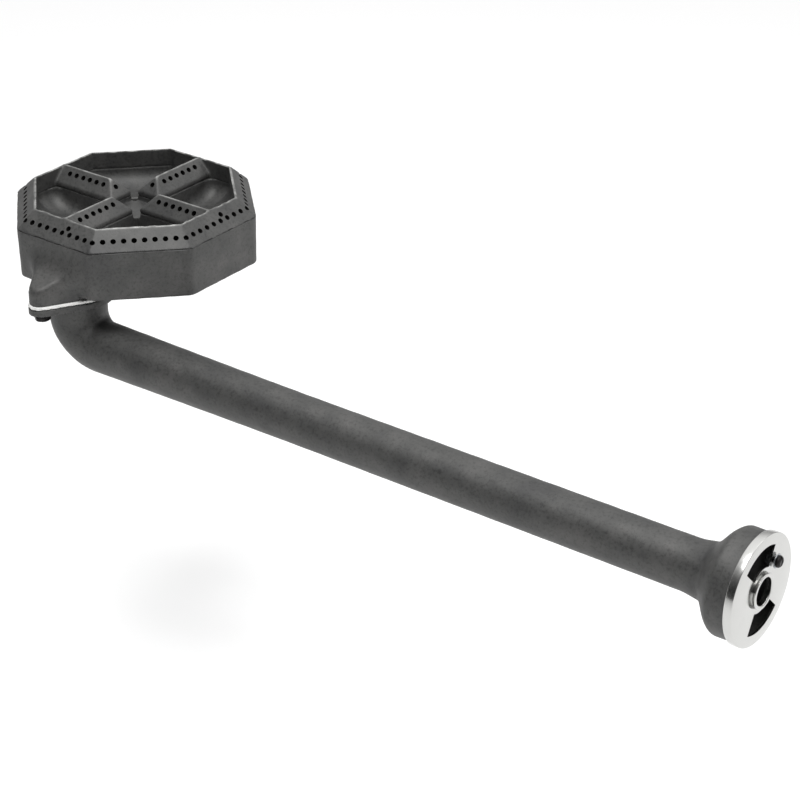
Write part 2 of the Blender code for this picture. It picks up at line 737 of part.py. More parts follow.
def hub_eyelet(finish):
    """Hollow rivet through both plates: the shutter turns on it, the orifice hood goes through it."""
    barrel = HOOD_HOLE + EYELET_WALL
    front = SHUTTER_BACK + SHUTTER_SHEET + GAP
    back = CAP_BACK - GAP
    thick = EYELET_FLANGE_THICKNESS
    profile = [
        (back - thick, HOOD_HOLE),
        (back - thick, EYELET_FLANGE - 0.0003),
        (back, EYELET_FLANGE - 0.0003),
        (back, barrel),
        (front, barrel),
        (front, EYELET_FLANGE),
        (front + thick * 0.6, EYELET_FLANGE),
        (front + thick, EYELET_FLANGE - 0.0006),
        (front + thick, HOOD_HOLE + 0.0005),
        (front + thick * 0.5, HOOD_HOLE),
    ]
    return as_object("hub_eyelet", turned(profile, ROUND), finish, MOUTH_CENTRE)


def lock_fasteners(screw_finish, washer_finish):
    washer_back = SHUTTER_BACK + SHUTTER_SHEET + GAP
    bore = LOCK_SHANK + GAP
    rim = LOCK_HEAD + 0.0009
    front = LOCK_WASHER_THICKNESS
    outline = [(0, bore), (0, rim), (front, rim), (front, bore)]
    as_object("lock_washer", turned(outline, SMALL_ROUND), washer_finish, lock_place(washer_back))

    seat = washer_back + LOCK_WASHER_THICKNESS + GAP
    nut_front = CAP_BACK - GAP
    nut_back = nut_front - LOCK_NUT_HEIGHT
    tip = nut_back - 0.0012 - seat
    dome = [
        (LOCK_HEAD_HEIGHT * sin(a), LOCK_HEAD * (0.55 + 0.45 * cos(a)))
        for a in (pi / 2 * i / 4 for i in range(5))
    ]
    profile = [(tip, 0), (tip, LOCK_SHANK * 0.7), (tip + 0.0006, LOCK_SHANK)]
    profile += [(0, LOCK_SHANK)] + dome + [(LOCK_HEAD_HEIGHT, 0)]
    screw = as_object("lock_screw", turned(profile, SMALL_ROUND), screw_finish, lock_place(seat))
    half = LOCK_SLOT_WIDTH / 2
    reach = LOCK_HEAD + 0.001
    slot = [(half, -reach), (half, reach), (-half, reach), (-half, -reach)]
    deep = LOCK_HEAD_HEIGHT * 0.55
    mesh = upright(slot, deep, LOCK_HEAD_HEIGHT + 0.001, Vector((0, 0, 0)))
    cut(screw, tool("driver_slot", mesh, lock_place(seat)))

    flats = upright(hexagon(LOCK_NUT_FLATS), 0, LOCK_NUT_HEIGHT, Vector((0, 0, 0)))
    nut = as_object("lock_nut", flats, washer_finish, lock_place(nut_back))
    thread = [(-0.001, 0), (-0.001, bore), (LOCK_NUT_HEIGHT + 0.001, bore)]
    thread += [(LOCK_NUT_HEIGHT + 0.001, 0)]
    cut(nut, tool("nut_thread", turned(thread, SMALL_ROUND), lock_place(nut_back)))


def build():
    clear_scene()
    iron = finish_name("cast_iron", (0.055, 0.055, 0.057), 0.5, 0.62)
    fibre = finish_name("gasket_sheet", (0.62, 0.61, 0.58), 0.0, 0.8)
    plated = finish_name("bright_plate", (0.80, 0.81, 0.82), 1.0, 0.16)
    steel = finish_name("dark_steel", (0.09, 0.09, 0.10), 0.9, 0.42)
    zinc = finish_name("zinc_plate", (0.48, 0.49, 0.50), 1.0, 0.35)
    head_body(iron)
    port_cap(iron)
    flange_gasket(fibre)
    tube_casting(iron)
    flange_fasteners(steel, steel)
    mouth_cap(plated)
    air_shutter(plated)
    hub_eyelet(plated)
    lock_fasteners(steel, zinc)


build()
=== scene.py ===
"""Cast iron range burner with its mixer tube and air shutter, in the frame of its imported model.

The castings are described by how far a point is from their skin, then meshed where that is nil,
so every edge and inside corner has the round that sand casting leaves. Metres throughout.
"""

from math import cos, hypot, pi, radians, sin, tan

import bmesh
import bpy
import numpy as np
from mathutils import Matrix, Vector


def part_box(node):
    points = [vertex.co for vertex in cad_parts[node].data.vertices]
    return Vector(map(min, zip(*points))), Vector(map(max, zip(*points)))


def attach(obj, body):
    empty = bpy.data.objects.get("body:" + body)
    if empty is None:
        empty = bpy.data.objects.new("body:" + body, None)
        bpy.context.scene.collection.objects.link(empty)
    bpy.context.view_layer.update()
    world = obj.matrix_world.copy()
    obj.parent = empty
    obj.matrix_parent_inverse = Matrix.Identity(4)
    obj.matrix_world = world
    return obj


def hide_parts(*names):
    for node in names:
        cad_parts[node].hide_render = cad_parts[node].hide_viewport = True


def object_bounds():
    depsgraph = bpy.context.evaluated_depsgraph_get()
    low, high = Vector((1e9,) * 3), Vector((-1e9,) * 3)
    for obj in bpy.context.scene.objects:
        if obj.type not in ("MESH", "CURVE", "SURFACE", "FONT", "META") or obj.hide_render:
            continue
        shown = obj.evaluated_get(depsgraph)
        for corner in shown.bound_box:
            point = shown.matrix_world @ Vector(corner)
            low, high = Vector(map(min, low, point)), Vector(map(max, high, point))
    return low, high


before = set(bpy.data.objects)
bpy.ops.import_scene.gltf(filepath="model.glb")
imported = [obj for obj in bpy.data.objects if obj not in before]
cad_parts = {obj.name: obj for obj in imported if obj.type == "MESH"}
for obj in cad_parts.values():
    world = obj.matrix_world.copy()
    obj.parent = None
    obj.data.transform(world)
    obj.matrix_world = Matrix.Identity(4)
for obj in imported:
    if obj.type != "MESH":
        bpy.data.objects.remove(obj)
MADE_BOX = [list(corner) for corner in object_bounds()]

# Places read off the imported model
floor_low, floor_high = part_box("head_floor")
head_low, head_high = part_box("head_wall")
cap_low, cap_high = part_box("port_cap")
gasket_low, gasket_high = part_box("flange_gasket")
elbow_low, elbow_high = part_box("inlet_elbow")
bell_low, bell_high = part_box("bell_mouth")
band_low, band_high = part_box("mouth_cap")
disc_low, disc_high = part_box("air_shutter")
eyelet_low, eyelet_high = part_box("hub_eyelet")

# Head casting
HEAD_APOTHEM = head_high.x
HEAD_DRAFT = 0.0008
SEAM_Z = head_high.z
HEAD_FLOOR = 0.005
CENTRE_FLOOR = 0.034
CAST_WALL = 0.0045
ARM_WALL = CAST_WALL * 0.85
PAD_BOTTOM = floor_low.z
WALL_CORNER = 0.0035
SILL_ROUND = 0.0012
SEAM_ROUND = 0.0009

# Port cap
CAP_Z = SEAM_Z + 0.0003
CAP_FOOT = SEAM_Z + 0.00005
BEVEL_RUN = 0.0145
RIDGE_APOTHEM = HEAD_APOTHEM - BEVEL_RUN
INNER_APOTHEM = RIDGE_APOTHEM - 0.0010
RIDGE_Z = SEAM_Z + 0.0143
ARM_TOP_Z = cap_high.z
ARM_HALF = 0.011
ARM_SKIRT = 0.003
NOSE_FOOT = 0.014
BEVEL_SLOPE = (RIDGE_Z - CAP_Z) / BEVEL_RUN
ARM_SLOPE = (ARM_TOP_Z - CAP_Z - ARM_SKIRT) / ARM_HALF
CORNER_FILLET = 0.009
QUARTER_INSET = 0.0235

# Drilled ports
PORT_RADIUS = 0.0020
PORTS_PER_SIDE = 9
PORT_DROP = 0.545
CARRY_DROP = 0.33
ARM_PORTS = 6
ARM_PORT_PITCH = 0.0070
ARM_PORT_DROP = 0.40

# Inlet, flange and mixer tube
INLET_Y = (disc_low.y + disc_high.y) / 2
TUBE_Z = (disc_low.z + disc_high.z) / 2
PAD_RADIUS = 0.029
LUG_RADIUS = 0.010
LUG_OFFSET = 0.037
PAD_SETBACK = 0.0015
BOSS_TOP = 0.019
BOSS_TIP_TOP = 0.008
BOSS_FADE = 0.012
INLET_BORE = 0.0175
FLANGE_TOP = elbow_high.z
FLANGE_BOTTOM = FLANGE_TOP - 0.0056
ELBOW_RADIUS = 0.0245
ELBOW_OUTER = 0.0222
TUBE_START_OUTER = 0.0200
TUBE_OUTER = 0.0181
TAPER_END = 0.233
SWELL_SETBACK = 0.016
SWELL_LENGTH = 0.026
SWELL_SHARE = 0.15
BELL_FLARE = 0.019
BELL_START = bell_low.x
BELL_RIM = (bell_high.y - bell_low.y) / 2
TUBE_WALL = 0.0038
BELL_FACE = bell_high.x
SCREW_HOLE = 0.0036

# Mouth
MOUTH_RADIUS = (disc_high.y - disc_low.y) / 2
HUB = Vector((0, INLET_Y, TUBE_Z))
WINDOW_CENTRE = radians(98.5)
WINDOW_HALF = radians(36.5)
WINDOW_INNER, WINDOW_OUTER = 0.0155, 0.0304
HUB_HOLE = 0.0095
LOCK_RADIUS = 0.0210
LOCK_ANGLE = radians(46)
SLOT_END = radians(22.5)
SLOT_HALF = 0.0027


# Fields: each gives a distance in metres, less than 0 inside the metal


def both(a, b, fillet=0.0):
    """The solid common to a and b, with that round on the edge between them."""
    if not fillet:
        return np.maximum(a, b)
    u, v = np.maximum(fillet + a, 0), np.maximum(fillet + b, 0)
    return np.minimum(-fillet, np.maximum(a, b)) + np.hypot(u, v)


def either(a, b, fillet=0.0):
    """The solid of a and b joined, with that fillet in the corner between them."""
    return -both(-a, -b, fillet)


def without(a, b, fillet=0.0):
    return both(a, -b, fillet)


def octagon(x, y, fillet):
    """Distance from the middle to the octagon side that a point faces, with rounded corners."""
    flat = np.maximum(np.abs(x), np.abs(y))
    slant = (np.abs(x) + np.abs(y)) / 2**0.5
    return both(flat - HEAD_APOTHEM, slant - HEAD_APOTHEM, fillet) + HEAD_APOTHEM


def sand_skin(x, y, z):
    """The slow unevenness of a sand mould, which only ever takes metal away."""
    waves = np.sin(x * 310 + 1.3 * np.sin(y * 170 + 2)) * np.sin(y * 270 + 1.1 * np.sin(z * 240))
    waves = waves + 0.6 * np.sin(z * 420 + x * 190 + 1.7 * np.sin(y * 390))
    return 0.00007 * (1.6 + waves)


def lozenge(x, y, shrink=0.0):
    """Flange outline: a round middle and two lugs along Y, joined by their tangents."""
    middle, lug = PAD_RADIUS - shrink, LUG_RADIUS - shrink
    across, along = np.abs(x), np.abs(y - INLET_Y)
    lean = (middle - lug) / LUG_OFFSET
    upright = (1 - lean * lean) ** 0.5
    side = along * upright - across * lean
    end = np.hypot(across, along - LUG_OFFSET) - lug
    flank = across * upright + along * lean - middle
    flat = np.where(side > upright * LUG_OFFSET, end, flank)
    return np.where(side < 0, np.hypot(across, along) - middle, flat)


def quarter_void(x, y, z):
    """The open quarter between two arms: upright near the top, drawn in like a bowl below."""
    near, far = np.minimum(np.abs(x), np.abs(y)), octagon(x, y, 0.004)
    low, high = SEAM_Z * 0.58, SEAM_Z * 0.95
    out, under = far - (INNER_APOTHEM - QUARTER_INSET), high - z
    u, v = np.maximum(out, 0) / QUARTER_INSET, np.maximum(under, 0) / (high - low)
    size = np.hypot(u, v)
    steep = np.hypot(u / QUARTER_INSET, v / (high - low))
    bowl = np.where(size > 0.05, size * (size - 1) / np.maximum(steep, 1e-6), -0.01)
    bowl = np.where(under > 0, bowl, out - QUARTER_INSET)
    ring = either(out, bowl, 0.0015)
    arm = ARM_HALF + 0.002 * (1 - np.clip(z / SEAM_Z, 0, 1))
    return both(arm - near, ring, CORNER_FILLET)


def head_field(x, y, z):
    reach = octagon(x, y, WALL_CORNER)
    wall = reach - HEAD_APOTHEM + HEAD_DRAFT * (1 - z / SEAM_Z)
    body = both(wall, -z, SILL_ROUND)
    void = quarter_void(x, y, z)
    centre = np.maximum(np.abs(x), np.abs(y)) - NOSE_FOOT
    void = either(void, both(centre, CENTRE_FLOOR - z, 0.001), 0.001)
    trough = both(wall + CAST_WALL, HEAD_FLOOR - z, 0.002)
    trough = both(trough, ARM_WALL - void, 0.002)
    body = without(body, void, 0.0010)
    body = without(body, trough, 0.0004)
    # Only the outside of the seam is rounded; inside, body and cap close up
    body = both(body, both(wall, z - SEAM_Z, SEAM_ROUND))
    body = bossed(body, x, y, z)
    pad = both(lozenge(x, y, PAD_SETBACK), PAD_BOTTOM - z, 0.0006)
    pad = both(pad, z - HEAD_FLOOR + 0.0005)
    body = either(body, pad, 0.0015)
    bore = np.hypot(x, y - INLET_Y) - INLET_BORE
    body = without(body, both(bore, z - 0.02), 0.0008)
    return body + sand_skin(x, y, z)


def bossed(body, x, y, z):
    """Adds the outer screw's boss: the pad's outline carried up and run back into the wall."""
    out = wall_face() - y
    end = wall_face() - INLET_Y + LUG_OFFSET + LUG_RADIUS - PAD_SETBACK
    fall = (BOSS_TOP - BOSS_TIP_TOP) / end
    crown = (z - BOSS_TOP + out * fall) / hypot(1, fall)
    boss = both(lozenge(x, y, PAD_SETBACK), crown, 0.003)
    low, high = either(body, boss, 0.0015), either(body, boss, BOSS_FADE)
    share = np.clip(z / BOSS_FADE, 0, 1)
    joined = both(low * (1 - share) + high * share, PAD_BOTTOM - z, 0.0006)
    return np.where(out > -CAST_WALL * 0.5, joined, body)


def wall_face():
    return -(HEAD_APOTHEM - HEAD_DRAFT)


def cap_field(x, y, z):
    reach = octagon(x, y, 0.0022)
    bevel = ((reach - HEAD_APOTHEM) * BEVEL_SLOPE + z - CAP_Z) / hypot(1, BEVEL_SLOPE)
    ring = both(bevel, z - RIDGE_Z, 0.0010)
    ring = both(ring, INNER_APOTHEM - reach, 0.0009)

    run = np.maximum(np.abs(x), np.abs(y))
    across = np.minimum(np.abs(x), np.abs(y))
    arm = (across * ARM_SLOPE + z - ARM_TOP_Z) / hypot(1, ARM_SLOPE)
    hip = (z - CAP_Z - ARM_SKIRT - (run - NOSE_FOOT) * ARM_SLOPE) / hypot(1, ARM_SLOPE)
    arm = both(arm, hip, 0.0012)
    arm = both(arm, z - ARM_TOP_Z + 0.0003, 0.0008)
    sides = both(across - ARM_HALF, NOSE_FOOT - run, 0.0015)
    arm = both(arm, sides, 0.0010)
    arm = both(arm, run - RIDGE_APOTHEM, 0.0030)
    solid = either(ring, arm, 0.0022)
    skin = solid + sand_skin(x, y, z)
    shell = without(skin, both(solid + ARM_WALL, z - RIDGE_Z), 0.0)
    return both(shell, both(bevel, CAP_FOOT - z, 0.0006))


def tube_line(x, y, z):
    """(distance along the bore from the flange, distance from its middle line)."""
    across = y - INLET_Y
    bend_z = TUBE_Z + ELBOW_RADIUS
    drop = FLANGE_TOP - bend_z
    arc = ELBOW_RADIUS * pi / 2
    turn = np.arctan2(bend_z - z, ELBOW_RADIUS - x)
    from_pivot = np.hypot(x - ELBOW_RADIUS, z - bend_z)
    straight = x > ELBOW_RADIUS
    upright = (z > bend_z) & ~straight
    gone = np.where(straight, drop + arc + x - ELBOW_RADIUS, drop + turn * ELBOW_RADIUS)
    gone = np.where(upright, FLANGE_TOP - z, gone)
    bent = np.hypot(from_pivot - ELBOW_RADIUS, across)
    off = np.where(straight, np.hypot(across, z - TUBE_Z), bent)
    return gone, np.where(upright, np.hypot(x, across), off)


def eased_step(t):
    t = np.clip(t, 0, 1)
    return t * t * (3 - 2 * t)


def tube_radius(gone):
    """Outer radius along the tube: swollen elbow, long taper, slow swell, and the bell's flare."""
    elbow_start = FLANGE_TOP - TUBE_Z - ELBOW_RADIUS
    x = gone - elbow_start - ELBOW_RADIUS * (pi / 2 - 1)
    bend = eased_step((gone - elbow_start) / (ELBOW_RADIUS * pi / 2))
    left = np.clip((TAPER_END - x) / (TAPER_END - ELBOW_RADIUS), 0, 1) ** 1.5
    taper = TUBE_OUTER + (TUBE_START_OUTER - TUBE_OUTER) * left
    elbow = ELBOW_OUTER + (TUBE_START_OUTER - ELBOW_OUTER) * bend
    radius = np.where(x < ELBOW_RADIUS, elbow, taper)
    swell = eased_step((x - BELL_START + SWELL_SETBACK) / SWELL_LENGTH)
    flare = eased_step((x - BELL_START) / BELL_FLARE)
    return radius + (BELL_RIM - TUBE_OUTER) * (SWELL_SHARE * swell + (1 - SWELL_SHARE) * flare)


def tube_field(x, y, z):
    gone, off = tube_line(x, y, z)
    outer = tube_radius(gone)
    thin = TUBE_WALL * (1 - 0.3 * eased_step((x - BELL_START) / (BELL_FACE - BELL_START)))
    # The bell's skin leans, so its distance is less than the step in radius
    probe = 0.0001
    lean = np.hypot(1, (tube_radius(gone + probe) - tube_radius(gone - probe)) / (2 * probe))
    body = both((off - outer) / lean, x - BELL_FACE, 0.0012)
    body = both(body, z - FLANGE_TOP, 0.0)
    plate = both(lozenge(x, y), np.abs(z - (FLANGE_TOP + FLANGE_BOTTOM) / 2) - 0.0028, 0.0008)
    body = either(body, plate, 0.0040)
    body = both(body, z - FLANGE_TOP, 0.0005)
    body = body + sand_skin(x, y, z)
    bore = (off - np.where(gone < 0.010, INLET_BORE, outer - thin)) / lean
    body = without(body, bore, 0.0012)
    for side in (1, -1):
        hole = np.hypot(x, y - INLET_Y - side * LUG_OFFSET) - SCREW_HOLE
        body = without(body, both(hole, z - 1.0), 0.0003)
    return body


# From fields and outlines to meshes


def poured(name, field, xs, ys, zs, finish, body, slot, *nodes):
    """Meshes the skin of a field on that grid: one point in each cell that the skin crosses."""
    axes = (xs, ys, zs)
    depth = field(*np.meshgrid(*axes, indexing="ij"))
    cells, spots, quads = [], [], []
    shape = np.array(depth.shape) - 1
    for a in range(3):
        b, c = (a + 1) % 3, (a + 2) % 3
        low = np.take(depth, range(shape[a]), axis=a)
        high = np.take(depth, range(1, shape[a] + 1), axis=a)
        at = np.argwhere((low < 0) != (high < 0))
        if at.size and (at[:, [b, c]].min() < 1 or (at[:, [b, c]].max(0) > shape[[b, c]] - 1).any()):
            raise ValueError(f"{name} reaches the edge of its grid")
        first, second = low[tuple(at.T)], high[tuple(at.T)]
        share = first / (first - second)
        place = np.stack([axes[d][at[:, d]] for d in range(3)], 1)
        place[:, a] += share * (axes[a][at[:, a] + 1] - axes[a][at[:, a]])
        corners = []
        for db, dc in ((-1, -1), (0, -1), (0, 0), (-1, 0)):
            cell = at.copy()
            cell[:, b] += db
            cell[:, c] += dc
            corners.append((cell[:, 0] * shape[1] + cell[:, 1]) * shape[2] + cell[:, 2])
        corners = np.stack(corners, 1)
        corners[first > 0] = corners[first > 0][:, ::-1]
        cells.append(corners)
        spots.append(np.repeat(place[:, None], 4, axis=1))
    cells, spots = np.concatenate(cells), np.concatenate(spots)
    _, index = np.unique(cells.reshape(-1), return_inverse=True)
    count = np.bincount(index)
    flat = spots.reshape(-1, 3)
    points = np.stack([np.bincount(index, flat[:, d]) / count for d in range(3)], 1)
    points = settle(points, field)
    data = bpy.data.meshes.new(name)
    data.from_pydata(points.tolist(), [], index.reshape(-1, 4).tolist())
    data.update()
    return placed(name, data, finish, body, slot, *nodes)


def settle(points, field, rounds=4, probe=2e-5):
    """Moves points straight onto the skin of a field."""
    for _ in range(rounds):
        x, y, z = points.T
        here = field(x, y, z)
        slope = np.stack([
            field(x + probe, y, z) - field(x - probe, y, z),
            field(x, y + probe, z) - field(x, y - probe, z),
            field(x, y, z + probe) - field(x, y, z - probe),
        ], 1) / (2 * probe)
        steep = np.maximum((slope**2).sum(1), 0.25)
        move = (here / steep)[:, None] * slope
        size = np.linalg.norm(move, axis=1, keepdims=True)
        points = points - move * np.minimum(1, 0.0006 / np.maximum(size, 1e-9))
    return points


def placed(name, data, finish, body, slot, *nodes, crease=40):
    data.shade_smooth()
    data.set_sharp_from_angle(angle=radians(crease))
    data.materials.append(finish)
    piece = bpy.data.objects.new(name, data)
    bpy.context.scene.collection.objects.link(piece)
    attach(piece, body)
    if nodes:
        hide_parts(*nodes)
    return piece


def spaced(*runs):
    """Grid lines through (from, to, step) runs that follow on from each other."""
    lines = [runs[0][0]]
    for low, high, step in runs:
        count = max(1, round((high - low) / step))
        lines += [low + (high - low) * i / count for i in range(1, count + 1)]
    return np.array(lines)


def from_bmesh(name, mesh):
    bmesh.ops.recalc_face_normals(mesh, faces=mesh.faces)
    data = bpy.data.meshes.new(name)
    mesh.to_mesh(data)
    mesh.free()
    return data


def lofted(mesh, rings):
    rows = [[mesh.verts.new(point) for point in ring] for ring in rings]
    count = len(rows[0])
    for lower, upper in zip(rows, rows[1:]):
        for i in range(count):
            j = (i + 1) % count
            mesh.faces.new((lower[i], lower[j], upper[j], upper[i]))
    mesh.faces.new(rows[0][::-1])
    mesh.faces.new(rows[-1])
    return mesh


def turned(profile, sides, along="X", at=(0, 0, 0)):
    """Turns a closed outline of (along, radius) points about an axis through at."""
    mesh = bmesh.new()
    rows = []
    for run, radius in profile:
        spots = []
        for i in range(sides if radius > 1e-7 else 1):
            a = 2 * pi * i / sides
            u, v = radius * cos(a), radius * sin(a)
            spot = Vector((run, u, v)) if along == "X" else Vector((u, v, run))
            spots.append(mesh.verts.new(spot + Vector(at)))
        rows.append(spots)
    closed = len(rows[0]) > 1
    for first, second in zip(rows, rows[1:] + rows[:1] if closed else rows[1:]):
        for i in range(sides):
            j = (i + 1) % sides
            ring = [first[i % len(first)], first[j % len(first)]]
            ring += [second[j % len(second)], second[i % len(second)]]
            ring = list(dict.fromkeys(ring))
            if len(ring) > 2:
                mesh.faces.new(ring)
    return mesh


def softened(outline, radius, steps=3):
    """An outline of (along, radius) points with each corner rounded."""
    points = []
    count = len(outline)
    for i in range(count):
        before, corner, after = (Vector(outline[(i + k) % count]) for k in (-1, 0, 1))
        if corner.y < 1e-7:
            points.append(tuple(corner))
            continue
        back, ahead = before - corner, after - corner
        limit = min(radius, back.length * 0.45, ahead.length * 0.45)
        start, end = corner + back.normalized() * limit, corner + ahead.normalized() * limit
        for k in range(steps + 1):
            t = k / steps
            points.append(tuple(start * (1 - t) ** 2 + corner * 2 * t * (1 - t) + end * t * t))
    return points


def cut_with(piece, mesh, name, lining=None):
    """Takes a closed mesh out of a piece, for good, so that no helper is left in the scene."""
    cutter = bpy.data.objects.new(name, from_bmesh(name, mesh))
    if lining:
        cutter.data.materials.append(lining)
    bpy.context.scene.collection.objects.link(cutter)
    step = piece.modifiers.new(name, "BOOLEAN")
    step.object, step.operation, step.solver = cutter, "DIFFERENCE", "EXACT"
    step.material_mode = "TRANSFER" if lining else "INDEX"
    apply_steps(piece)
    bpy.data.objects.remove(cutter)


def apply_steps(piece):
    graph = bpy.context.evaluated_depsgraph_get()
    made = bpy.data.meshes.new_from_object(piece.evaluated_get(graph))
    piece.modifiers.clear()
    old, piece.data = piece.data, made
    bpy.data.meshes.remove(old)


def eased(piece, width, segments=2, angle=35):
    """A small round on every real edge."""
    step = piece.modifiers.new("edge", "BEVEL")
    step.width, step.segments = width, segments
    step.limit_method, step.angle_limit = "ANGLE", radians(angle)
    step.harden_normals = True
    apply_steps(piece)
    piece.data.shade_smooth()
    piece.data.set_sharp_from_angle(angle=radians(50))


# Materials


def linear(code):
    """An sRGB hex colour as linear light."""
    parts = [int(code[i : i + 2], 16) / 255 for i in (1, 3, 5)]
    return tuple(p / 12.92 if p <= 0.04045 else ((p + 0.055) / 1.055) ** 2.4 for p in parts) + (1.0,)


def add_node(tree, kind, settings=None, links=None):
    """Adds a node, sets its fields or sockets, and links sockets from other nodes' outputs."""
    node = tree.nodes.new(kind)
    for key, value in (settings or {}).items():
        if isinstance(key, str) and hasattr(node, key):
            setattr(node, key, value)
        else:
            node.inputs[key].default_value = value
    for key, source in (links or {}).items():
        tree.links.new(source, node.inputs[key])
    return node


def new_finish(name, settings):
    """A material with its shader's constant sockets set, and its piece's own coordinates."""
    finish = bpy.data.materials.new(name)
    finish.use_nodes = True
    tree = finish.node_tree
    shader = tree.nodes["Principled BSDF"]
    for key, value in settings.items():
        shader.inputs[key].default_value = value
    place = add_node(tree, "ShaderNodeTexCoord").outputs["Object"]
    return finish, tree, shader, place


def ramp(tree, source, stops):
    node = add_node(tree, "ShaderNodeValToRGB", links={"Fac": source})
    elements = node.color_ramp.elements
    for i, (position, colour) in enumerate(stops):
        element = elements[i] if i < 2 else elements.new(position)
        element.position = position
        element.color = colour
    return node.outputs["Color"]


def grey(level):
    return (level, level, level, 1.0)


def sand_cast_iron():
    """Grey iron, sand cast and left as it came from the mould.

    The eye gets a dull dark grey with slow cloudy changes of tone, a fine pebbled grain, and
    paler metal on the highest ridges and corners, partly rubbed wear and partly painted highlight.
    """
    finish, tree, shader, place = new_finish("sand_cast_iron", {"Metallic": 0.60})
    cloud = add_node(tree, "ShaderNodeTexNoise", {"Scale": 1 / 0.028, "Detail": 5.0, "Roughness": 0.62}, {"Vector": place})
    tone = ramp(tree, cloud.outputs["Fac"], [(0.30, linear("#4c4c4c")), (0.52, linear("#575756")), (0.74, linear("#636261"))])
    edge = add_node(tree, "ShaderNodeNewGeometry").outputs["Pointiness"]
    # Pointiness picks out the convex edges for the pale mark, partly wear and partly painted highlight
    edge_wear_and_highlight = ramp(tree, edge, [(0.515, grey(0.0)), (0.58, grey(1.0))])
    patchy = add_node(tree, "ShaderNodeTexNoise", {"Scale": 1 / 0.006, "Detail": 3.0}, {"Vector": place})
    broken = ramp(tree, patchy.outputs["Fac"], [(0.35, grey(0.25)), (0.62, grey(0.9))])
    # Paler colour on the highest ridges, partly wear where pans rub and partly painted highlight, starts a little below
    # the top of the ring
    height = add_node(tree, "ShaderNodeSeparateXYZ", links={0: place}).outputs["Z"]
    top = add_node(tree, "ShaderNodeMapRange", {1: RIDGE_Z - 0.0022, 2: RIDGE_Z - 0.0006}, {0: height})
    reach = add_node(tree, "ShaderNodeMath", {"operation": "MULTIPLY"}, {0: edge_wear_and_highlight, 1: top.outputs[0]})
    wear_and_highlight = add_node(tree, "ShaderNodeMath", {"operation": "MULTIPLY"}, {0: reach.outputs[0], 1: broken})
    # The real grit is 0.3 mm; it is drawn at 1.1 mm so that it shows
    grit = add_node(tree, "ShaderNodeTexNoise", {"Scale": 1 / 0.0022, "Detail": 4.0, "Roughness": 0.7}, {"Vector": place})
    speck = ramp(tree, grit.outputs["Fac"], [(0.34, grey(0.62)), (0.5, grey(0.92)), (0.66, grey(1.0))])
    grained = add_node(tree, "ShaderNodeMix", {"data_type": "RGBA", "blend_type": "MULTIPLY"}, {6: tone, 7: speck})
    grained.inputs[0].default_value = 1.0
    colour = add_node(tree, "ShaderNodeMix", {"data_type": "RGBA"}, {0: wear_and_highlight.outputs[0], 6: grained.outputs[2]})
    # Pale grey on the highest edges: partly rubbed wear, partly painted highlight
    colour.inputs[7].default_value = linear("#c2c2c0")
    tree.links.new(colour.outputs[2], shader.inputs["Base Color"])
    rough = ramp(tree, grit.outputs["Fac"], [(0.3, grey(0.50)), (0.7, grey(0.66))])
    tree.links.new(rough, shader.inputs["Roughness"])
    bump = add_node(tree, "ShaderNodeBump", {"Strength": 0.35, "Distance": 0.0003}, {"Height": grit.outputs["Fac"]})
    tree.links.new(bump.outputs["Normal"], shader.inputs["Normal"])
    return finish


def port_bore_painted_shade():
    """The drilled wall of a port, coloured near black: painted shade for the dark inside the holes."""
    finish, tree, shader, place = new_finish("port_bore_painted_shade", {"Roughness": 0.95, "Specular IOR Level": 0.1})
    cloud = add_node(tree, "ShaderNodeTexNoise", {"Scale": 1 / 0.001, "Detail": 2.0}, {"Vector": place})
    # Near-black colour: painted shade inside the ports
    tone = ramp(tree, cloud.outputs["Fac"], [(0.3, linear("#0b0a0a")), (0.7, linear("#1a1918"))])
    tree.links.new(tone, shader.inputs["Base Color"])
    return finish


def fibre_sheet():
    """Compressed fibre gasket: matt off-white with short grey fibres and a slightly fuzzy edge."""
    finish, tree, shader, place = new_finish("compressed_fibre_sheet", {"Roughness": 0.85})
    strands = add_node(tree, "ShaderNodeTexNoise", {"Scale": 1 / 0.0018, "Detail": 6.0, "Roughness": 0.75}, {"Vector": place})
    tone = ramp(tree, strands.outputs["Fac"], [(0.32, linear("#cfcfcd")), (0.52, linear("#ececea")), (0.7, linear("#f6f6f4"))])
    tree.links.new(tone, shader.inputs["Base Color"])
    bump = add_node(tree, "ShaderNodeBump", {"Strength": 0.5, "Distance": 0.0002}, {"Height": strands.outputs["Fac"]})
    tree.links.new(bump.outputs["Normal"], shader.inputs["Normal"])
    return finish


def nickel_plate():
    """Bright nickel over pressed steel: a white mirror gone slightly soft, with faint draw marks."""
    finish, tree, shader, place = new_finish("bright_nickel_plate", {"Metallic": 1.0, "Base Color": linear("#bfbfbd")})
    haze = add_node(tree, "ShaderNodeTexNoise", {"Scale": 1 / 0.011, "Detail": 4.0}, {"Vector": place})
    rough = ramp(tree, haze.outputs["Fac"], [(0.35, grey(0.16)), (0.7, grey(0.27))])
    tree.links.new(rough, shader.inputs["Roughness"])
    ripple = add_node(tree, "ShaderNodeTexNoise", {"Scale": 1 / 0.009, "Detail": 2.0}, {"Vector": place})
    bump = add_node(tree, "ShaderNodeBump", {"Strength": 0.12, "Distance": 0.0004}, {"Height": ripple.outputs["Fac"]})
    tree.links.new(bump.outputs["Normal"], shader.inputs["Normal"])
    return finish


def blacked_steel():
    """Oil-blacked screw steel: near black with a low brown-grey sheen."""
    finish, tree, shader, place = new_finish("oil_blacked_steel", {"Metallic": 0.9})
    cloud = add_node(tree, "ShaderNodeTexNoise", {"Scale": 1 / 0.0025, "Detail": 4.0}, {"Vector": place})
    tone = ramp(tree, cloud.outputs["Fac"], [(0.35, linear("#1d1c1c")), (0.7, linear("#343333"))])
    tree.links.new(tone, shader.inputs["Base Color"])
    rough = ramp(tree, cloud.outputs["Fac"], [(0.3, grey(0.32)), (0.7, grey(0.48))])
    tree.links.new(rough, shader.inputs["Roughness"])
    return finish


